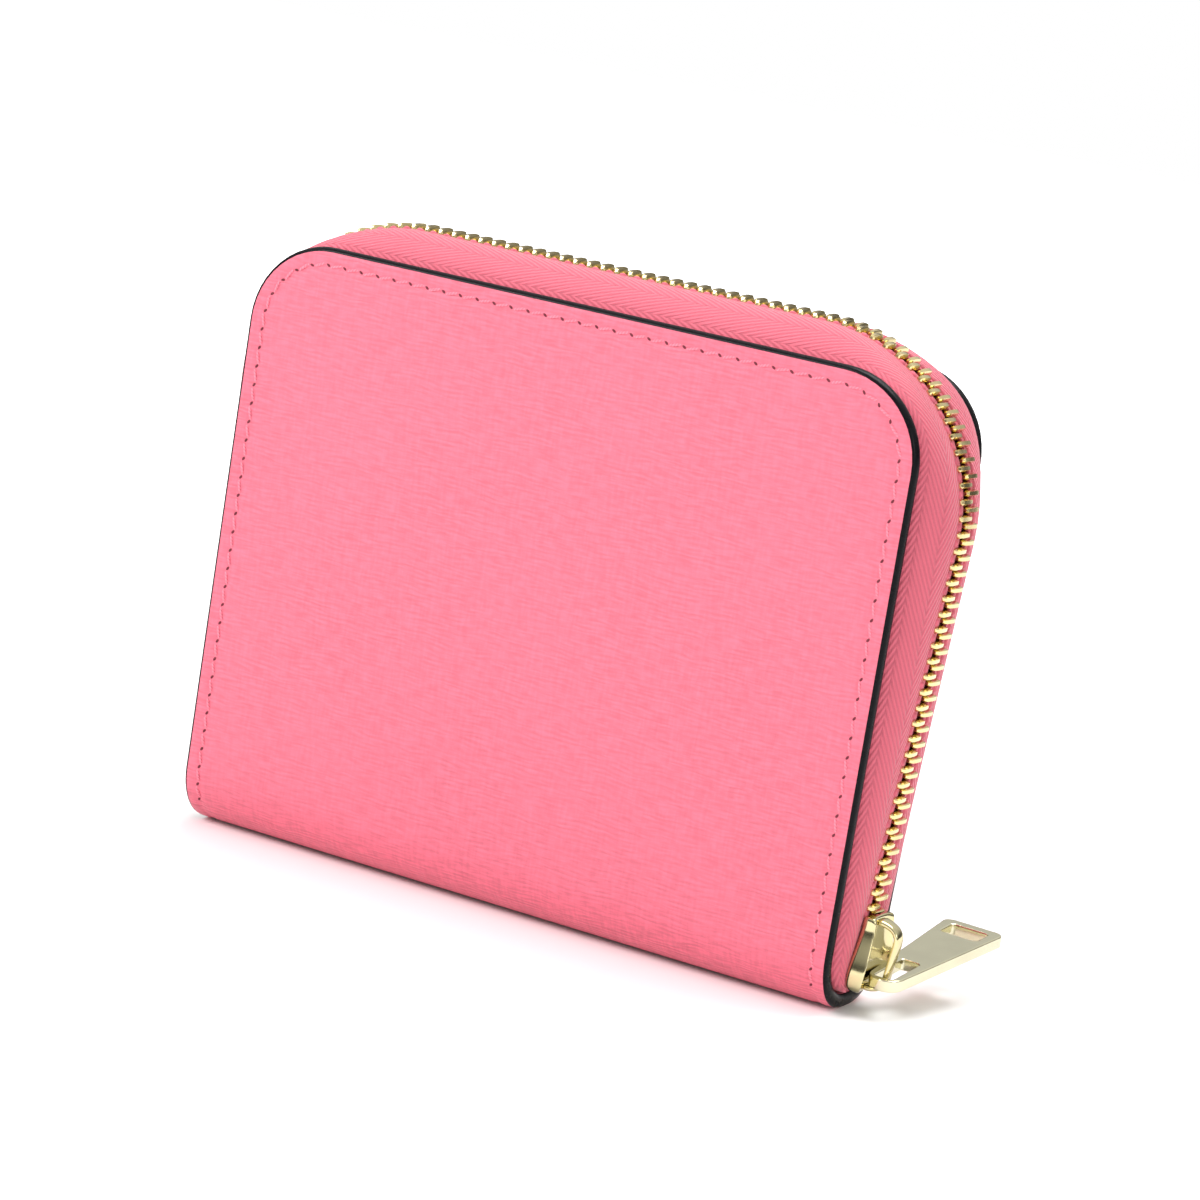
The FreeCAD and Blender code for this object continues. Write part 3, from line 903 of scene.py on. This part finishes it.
crown_line = [
    # (u, n, half width, half thickness) along the arch, from its low foot to its high one
    (-5.45, 1.9, 1.55, 0.50), (-5.50, 2.7, 1.35, 0.46), (-5.2, 4.2, 1.22, 0.45), (-4.3, 4.95, 1.2, 0.45),
    (-2.0, 5.12, 1.2, 0.45), (1.0, 5.34, 1.25, 0.45), (3.1, 5.55, 1.3, 0.45), (4.35, 5.1, 1.35, 0.46),
    (5.0, 4.0, 1.4, 0.48), (5.25, 2.7, 1.6, 0.5), (5.3, 1.9, 1.9, 0.55),
]
crown_section = [
    (1, 0.6), (0.75, 1), (0, 1.12), (-0.75, 1), (-1, 0.6), (-1, -0.6), (-0.75, -1), (0, -1), (0.75, -1),
    (1, -0.6),
]


def crown_shape(scale, line):
    rings = []
    for i, (u, n, wide, thick) in enumerate(line):
        before = line[max(i - 1, 0)]
        after = line[min(i + 1, len(line) - 1)]
        along = Vector((after[0] - before[0], 0, after[1] - before[1])).normalized()
        side = Vector((-along.z, 0, along.x))
        rings.append([(Vector((u, a * wide, n)) + side * (b * thick)) * scale for a, b in crown_section])
    shape = Shape()
    shape.loft(rings)
    return shape


def placed(shape, origin, along, across, out):
    """Moves a shape drawn in (u, v, n) to its place."""
    turn = Matrix((along, across, out)).transposed()
    shape.verts = [origin + turn @ v for v in shape.verts]
    return shape


def build_slider(name, body, scale, origin, along, out, low_share, node):
    """Slider body and crown; low_share is the crown's height at its low end against the high one."""
    across = Vector((0, -1, 0))
    line = []
    for u, n, wide, thick in crown_line:
        lift = 1 + (1 / low_share - 1) * ease((3.0 - u) / 8.0) if n > 4 else 1.0
        line.append((u, plate_top + (n - plate_top) * lift, wide, thick))

    def made(word, shape):
        shape = placed(shape, origin, along, across, out)
        return smooth(shape.piece(name + word, [slider_gold], sharp=70), 2)

    body_piece = made("_body", slider_shape(scale))
    crown = made("_crown", crown_shape(scale, line))
    for piece in (body_piece, crown):
        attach(piece, body)
    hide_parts(node)


def flat_bar(name, outlines, thick, bevel, origin, along, across, out):
    """Plate cut from outlines in (u, v), with rounded edges, put in place as a mesh."""
    curve = bpy.data.curves.new(name + "_outline", "CURVE")
    curve.dimensions = "2D"
    curve.fill_mode = "BOTH"
    curve.extrude = (thick / 2 - bevel) * MM
    curve.bevel_depth = bevel * MM
    curve.bevel_resolution = 3
    curve.offset = -bevel * MM
    for outline in outlines:
        spline = curve.splines.new("POLY")
        spline.points.add(len(outline) - 1)
        for point, (u, v) in zip(spline.points, outline):
            point.co = (u * MM, v * MM, 0, 1)
        spline.use_cyclic_u = True
    holder = linked(name + "_outline", curve)
    bpy.context.view_layer.update()
    mesh = bpy.data.meshes.new_from_object(holder.evaluated_get(bpy.context.evaluated_depsgraph_get()))
    bpy.data.objects.remove(holder)
    turn = Matrix((along, across, out)).transposed().to_4x4()
    mesh.transform(Matrix.Translation(origin * MM) @ turn)
    mesh.materials.clear()
    mesh.materials.append(puller_gold)
    clean(mesh, 35)
    for face in mesh.polygons:
        face.use_smooth = abs(face.normal.dot(out)) < 0.999
    return linked(name, mesh)


def arc(centre_u, centre_v, radius, start, end, count):
    turns = [math.radians(a) for a in spread(start, end, count)]
    return [(centre_u + radius * math.cos(t), centre_v + radius * math.sin(t)) for t in turns]


def rounded_box(u, v, radius):
    """Outline of a box with round corners, between the two values of each pair."""
    points = []
    for cu, cv, start in ((u[1], v[1], 0), (u[0], v[1], 90), (u[0], v[0], 180), (u[1], v[0], 270)):
        centre_u = cu - radius if cu == u[1] else cu + radius
        centre_v = cv - radius if cv == v[1] else cv + radius
        points += arc(centre_u, centre_v, radius, start, start + 90, 6)
    return points


def build_main_puller():
    """Flat bar: slotted round end on the crown, windowed square tip."""
    pivot = Vector(joint("puller_swing")["pos_m"]) / MM
    reach = 31.2
    yaw = math.radians(3.0)
    pitch = math.radians(6.7)
    along = Vector((math.sin(yaw) * math.cos(pitch), math.cos(yaw) * math.cos(pitch), math.sin(pitch)))
    across = Vector((math.cos(yaw), -math.sin(yaw), 0))
    out = along.cross(across)
    ring_half = 2.85
    tip_half = 5.25
    corner = 1.5
    outline = arc(0, 0, ring_half, 270, 94, 20)
    outline += arc(reach - corner, tip_half - corner, corner, 90, 0, 7)
    outline += arc(reach - corner, -tip_half + corner, corner, 0, -90, 7)
    slot = rounded_box((-1.6, 8.2), (-1.6, 1.6), 0.5)
    window = rounded_box((reach - 6.6, reach - 1.9), (-3.3, 3.3), 0.7)
    thick = 2.0
    bevel = 0.24
    piece = flat_bar("puller_bar", [outline, slot, window], thick, bevel, pivot, along, across, out)
    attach(piece, "zip_puller")
    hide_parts("zip_puller")


def build_coin_puller():
    pivot = Vector(joint("coin_puller_flip")["pos_m"]) / MM
    along = Vector((-1, 0, 0))
    across = Vector((0, -1, 0))
    reach = 15.0
    end = 2.5
    outline = [(3.0, 2.35), (0.2, 2.3)] + arc(-0.05, 1.9, 0.4, 90, 180, 5)
    outline += arc(-0.05, -1.9, 0.4, 180, 270, 5) + [(0.2, -2.3), (3.0, -2.35)]
    outline += arc(reach - end, 0, end, -90, 90, 17)
    slot = rounded_box((0.45, 6.8), (-1.2, 1.2), 0.4)
    thick = 0.9
    bevel = 0.16
    out = Vector((0, 0, 1))
    piece = flat_bar("coin_puller_bar", [outline, slot], thick, bevel, pivot, along, across, out)
    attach(piece, "coin_puller")
    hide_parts("coin_zip_puller")


# ---- inside: linings, card leaves, coin pocket and gussets ----
lining_section = [
    (14, 3.72), (6, 3.72), (2.2, 3.70), (1.5, 3.55), (1.25, 3.25), (1.4, 2.95), (14, 2.95),
][::-1]


def build_lining(back):
    word = words[back]
    runs = [seam_run - 3.0, seam_run - 1.0] + panel_runs
    piece = cover_skin(word + "_lining_skin", lining_section, runs, [leather_inside], back, lambda i: 0)
    blend_to_cover(piece)
    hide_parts(word + "_lining", word + "_board")


pocket_pitch = 3.0


def build_card_leaves(back):
    """Card pocket leaves, each with a turned top edge and stitched sides."""
    word = words[back]
    names = [word + "_card_leaf_%d" % (i + 1) for i in range(4)]
    base_depth = 3.74
    leaf_thick = 0.5
    seam_drop = 2.0
    seam_margin = 3
    stitches = Shape()
    for index, node in enumerate(names):
        low, high = box_mm(node)
        half = high.x
        top = hinge_to_run(high.z)
        bottom = hinge_to_run(low.z)
        near = base_depth + index * leaf_thick
        far = near + leaf_thick - 0.03
        section = [
            (top - 3.0, far), (top - 2.8, far + 0.10), (top - 0.5, far + 0.16), (top, far - 0.02),
            (top - 0.1, near + 0.05), (top - 3.0, near), (bottom, near), (bottom, far),
        ]
        rings = []
        flats = []
        for x in spread(-half, half, 25):
            sway = 0.10 * math.sin((x / half + 0.3 * index) * 2.4)
            ring = [on_cover(x, run, depth + (sway if run > top - 1 else 0)) for run, depth in section]
            rings.append(ring)
            flats.append([(x, run, depth) for run, depth in section])
        shape = Shape()
        shape.loft(rings, flats)
        piece = shape.piece(word + "_card_pocket_%d" % (index + 1), [card_leather], back, sharp=50)
        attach(piece, word + "_cover")
        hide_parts(node)
        length = 2 * (half - seam_margin)
        count = int(length / pocket_pitch)
        for i in range(count):
            x = -half + seam_margin + (i + 0.5) * length / count
            add_stitch(stitches, x, top - seam_drop, far + 0.17, (1, 0))
    side_count = 18
    run_low = hinge_to_run(box_mm(names[0])[0].z) + 2
    run_high = hinge_to_run(box_mm(names[-1])[1].z) - 2
    depth = base_depth + 4 * leaf_thick
    for side in (-1, 1):
        x = side * (box_mm(names[0])[1].x - 1.6)
        for i in range(side_count):
            run = run_low + (i + 0.5) * (run_high - run_low) / side_count
            add_stitch(stitches, x, run, depth, (0, 1))
    piece = stitches.piece(word + "_pocket_stitches", [thread], back)
    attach(piece, word + "_cover")


def hinge_to_run(z):
    """Run along the cover's outside of the point at a height."""
    return seam_run + (z - hinge_z) / math.cos(lean) - turn_top


def add_stitch(shape, x, run, depth, direction):
    """Small raised stitch on an inside surface."""
    along = Vector(direction)
    side = Vector((-along.y, along.x))
    rings = []
    flats = []
    for t in spread(-1, 1, 5):
        thick = 0.2 * (1 - 0.5 * abs(t) ** 3)
        centre = Vector((x, run)) + along * (1.05 * t)
        ring = []
        for angle in circle(6):
            spot = centre + side * (thick * math.cos(angle))
            rise = thick * 0.5 * math.sin(angle) - 0.12 * abs(t) ** 3
            ring.append(on_cover(spot.x, spot.y, depth + rise))
        rings.append(ring)
        flats.append([(t, 0.3 * k, 0) for k in range(6)])
    shape.loft(rings, flats)


coin_low, coin_high = box_mm("front_coin_wall")
coin_scale = 0.62
coin_chain_half = 41.5
coin_pitch = 1.9
coin_stop_x = 43.2


def coin_spread(z):
    """Share of the coin pocket's widening that is reached at a height."""
    return ease((z - 57.0) / 16.0)


def build_coin_walls(back):
    """Coin pocket wall: it rises from the spine and spreads towards its zip."""
    word = words[back]
    thick = 0.8
    rings = []
    flats = []
    inner_low = 1.1
    inner_high = 3.8
    for z in [coin_low.z, 10, 20, 30, 40, 50] + spread(56, 74, 10) + [77, coin_high.z - 0.4, coin_high.z]:
        inner = inner_low + (inner_high - inner_low) * coin_spread(z)
        outer = inner + thick - (0.25 if z == coin_high.z else 0.0)
        inner += 0.2 if z == coin_high.z else 0.0
        columns = spread(coin_low.x, coin_high.x, 21)
        ring = [Vector((x, -inner, z)) for x in columns]
        ring += [Vector((x, -outer, z)) for x in columns[::-1]]
        rings.append(ring)
        flats.append([(p.x, p.z, p.y) for p in ring])
    shape = Shape()
    shape.loft(rings, flats)
    piece = shape.piece(word + "_coin_panel", [leather_inside], back, sharp=50)
    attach(piece, "spine")
    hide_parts(word + "_coin_wall")


def build_coin_zip():
    chain_z = middle_mm("coin_zip_teeth").z
    up = Vector((0, 0, 1))
    wall = 3.75
    section = [
        (wall - 0.25, box_mm("front_coin_zip_tape")[0].z), (wall - 0.25, chain_z - 2.2),
        (wall - 0.45, chain_z - 0.8), (wall - 1.0, chain_z - 0.1), (2.4, chain_z), (1.3, chain_z),
    ]
    for back in (False, True):
        word = words[back]
        low, high = box_mm(word + "_coin_zip_tape")
        rings = []
        flats = []
        for x in spread(low.x, high.x, 40):
            ring, widths = ribbon([Vector((x, -y, z)) for y, z in section], up, 0.4)
            rings.append(ring)
            flats.append([(x, across, 0) for across in widths])
        shape = Shape()
        shape.loft(rings, flats)
        piece = shape.piece(word + "_coin_tape", [small_tape_cloth], back, sharp=60)
        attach(piece, "spine")
        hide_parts(word + "_coin_zip_tape")
    count = int(2 * coin_chain_half / (coin_pitch / 2))
    tooth_high = tooth_height / 2 * coin_scale
    rows = Shape()
    for i in range(count + 1):
        point = Vector((-coin_chain_half + i * coin_pitch / 2, 0, chain_z))
        rings = tooth_rings(point, up, 0.36, tooth_high, coin_scale)
        rows.loft(mirrored(rings) if i % 2 else rings)
    clips = Shape()
    for x, shift in ((coin_stop_x, 0.35), (-coin_stop_x, 0.0)):
        rings = tooth_rings(Vector((x, 0, chain_z)), up, 0.8, tooth_high, 0.5, shift)
        clips.loft(rings)
        clips.loft(mirrored(rings))
    teeth = rows.piece("coin_teeth", [tooth_gold], sharp=35)
    stops = smooth(clips.piece("coin_stops", [tooth_gold]))
    for piece, node in ((teeth, "coin_zip_teeth"), (stops, "coin_zip_stops")):
        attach(piece, "spine")
        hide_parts(node)
    origin = Vector((middle_mm("coin_zip_slider").x, 0, chain_z))
    along = Vector((-1, 0, 0))
    build_slider("coin_slider", "coin_slider", coin_scale, origin, along, up, 0.92, "coin_zip_slider")
    build_coin_puller()


def build_gusset(back, side):
    """Pleated fan of thin leather from the coin pocket's side edge to the cover."""
    word = words[back]
    node = word + "_gusset_" + ("right" if side > 0 else "left")
    low, high = box_mm(node)
    inner_x = 46.3
    outer_x = 55.5
    rings = []
    flats = []
    for z in spread(low.z, high.z, 24):
        end_y = -inner_y(z, 4.0)
        start_y = 1.4 + 2.4 * coin_spread(z)
        fold = outer_x - 2.5 * (1 - (z - low.z) / (high.z - low.z))
        folds = (inner_x, fold, inner_x + 1.2, fold + 0.6, inner_x + 3.0)
        line = []
        for i, (near, far) in enumerate(zip(folds, folds[1:])):
            for t in spread(0, 1, 7)[:-1]:
                share = (i + t) / (len(folds) - 1)
                x = near + (far - near) * (0.5 - 0.5 * math.cos(math.pi * t))
                line.append(Vector((side * x, -(start_y + (end_y - start_y) * share), z)))
        line.append(Vector((side * folds[-1], -end_y, z)))
        ring, runs = ribbon(line, Vector((1, 0, 0)), 0.44)
        rings.append(ring)
        flats.append([(run, z, 0) for run in runs])
    shape = Shape()
    shape.loft(rings, flats)
    piece = shape.piece(node + "_fan", [leather_inside], back, sharp=60)
    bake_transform(piece)
    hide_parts(node)


# ---- floor, light and camera ----
flag_count = 5.0


def build_stage():
    n = Nodes("paper_floor")
    place = n.new("ShaderNodeTexCoord").outputs["Object"]
    grain = n.noise(place, 30.0, 3.0)
    n.finish(color=n.mix(grain, color(0.93, 0.93, 0.93), color(0.95, 0.95, 0.95)), rough=0.8, specular=0.1)
    far = n.new("ShaderNodeVectorMath", {0: place}, operation="LENGTH").outputs["Value"]
    n.put(n.shader.inputs["Emission Color"], color(1.0, 1.0, 1.0))
    seen = n.new("ShaderNodeLightPath").outputs["Is Camera Ray"]
    glow = n.math("MULTIPLY", n.ramp(far, 0.15, 0.9, 0.03, 0.9), seen)
    n.put(n.shader.inputs["Emission Strength"], glow)
    bpy.ops.mesh.primitive_plane_add(size=6.0, location=(0, 0, -0.0002))
    floor = bpy.context.object
    floor.name = "floor"
    floor.data.materials.append(n.owner)
    build_world()


def build_world():
    """White studio with dark flags round the horizon, which only reflections show."""
    n = Nodes("studio", bpy.data.worlds, "Background")
    bpy.context.scene.world = n.owner

    def ramp(source, stops):
        node = n.new("ShaderNodeValToRGB", {0: source})
        while len(node.color_ramp.elements) < len(stops):
            node.color_ramp.elements.new(0.5)
        for element, (place, level) in zip(node.color_ramp.elements, stops):
            element.position = place
            element.color = color(level, level, level)
        return node.outputs["Color"]

    way = n.new("ShaderNodeSeparateXYZ", {0: n.new("ShaderNodeTexCoord").outputs["Generated"]}).outputs
    heights = ramp(way["Z"], ((0.0, 0.55), (0.10, 0.24), (0.27, 0.62), (0.55, 0.85)))
    turns = n.math("MULTIPLY", n.math("ARCTAN2", way["Y"], way["X"]), flag_count)
    flags = ramp(n.math("SINE", turns), ((0.0, 0.35), (0.45, 1.0)))
    both = n.mix(ramp(way["Z"], ((0.18, 1.0), (0.40, 0.2))), heights, flags, "MULTIPLY")
    seen = n.new("ShaderNodeLightPath").outputs["Is Camera Ray"]
    n.put(n.shader.inputs["Color"], n.mix(seen, both, color(1.0, 1.0, 1.0)))
    n.put(n.shader.inputs["Strength"], 1.0)
    bpy.context.scene.view_settings.view_transform = "Standard"


def area_light(name, location, target, size, power):
    light = bpy.data.lights.new(name, "AREA")
    light.shape = "DISK"
    light.size = size
    light.energy = power
    holder = linked(name, light)
    holder.location = location
    holder.rotation_euler = (Vector(target) - Vector(location)).to_track_quat("-Z", "Y").to_euler()


def build_camera():
    """Camera seen slightly from the right and above, held at a tilt."""
    azimuth = math.radians(26.01)
    elevation = math.radians(9.80)
    roll = math.radians(10.04)
    forward = Vector((
        -math.sin(azimuth) * math.cos(elevation),
        math.cos(azimuth) * math.cos(elevation),
        -math.sin(elevation),
    ))
    level = Vector((math.cos(azimuth), math.sin(azimuth), 0))
    upright = level.cross(forward)
    right = level * math.cos(roll) + upright * math.sin(roll)
    up = upright * math.cos(roll) - level * math.sin(roll)
    camera = bpy.data.cameras.new("camera")
    camera.lens = 120.0
    camera.sensor_width = 36.0
    camera.clip_start = 0.01
    camera.clip_end = 20.0
    holder = linked("camera", camera)
    place = Matrix((right, up, -forward)).transposed().to_4x4()
    place.translation = Vector((0.28303, -0.56936, 0.16223))
    holder.matrix_world = place
    bpy.context.scene.camera = holder


build_camera()
build_stage()
middle = (0, 0, 0.05)
area_light("key", (-0.8, -1.1, 0.9), middle, 0.8, 18.5)
area_light("fill", (1.3, -0.5, 0.5), middle, 0.6, 4.0)
area_light("top", (0.1, 0.4, 1.4), middle, 1.0, 17.0)

for back in (False, True):
    build_cover(back)
    build_stitches(back)
    build_tape(back)
    build_lining(back)
    build_card_leaves(back)
    build_coin_walls(back)
    for side in (-1, 1):
        build_gusset(back, side)
build_teeth()
build_stops()
slider_z = middle_mm("zip_slider").z
slider_centre = Vector((chain_x(slider_z), 0, slider_z))
build_slider("slider", "zip_slider", 1.0, slider_centre, chain_along, chain_out, 1.0, "zip_slider")
build_main_puller()
build_coin_zip()
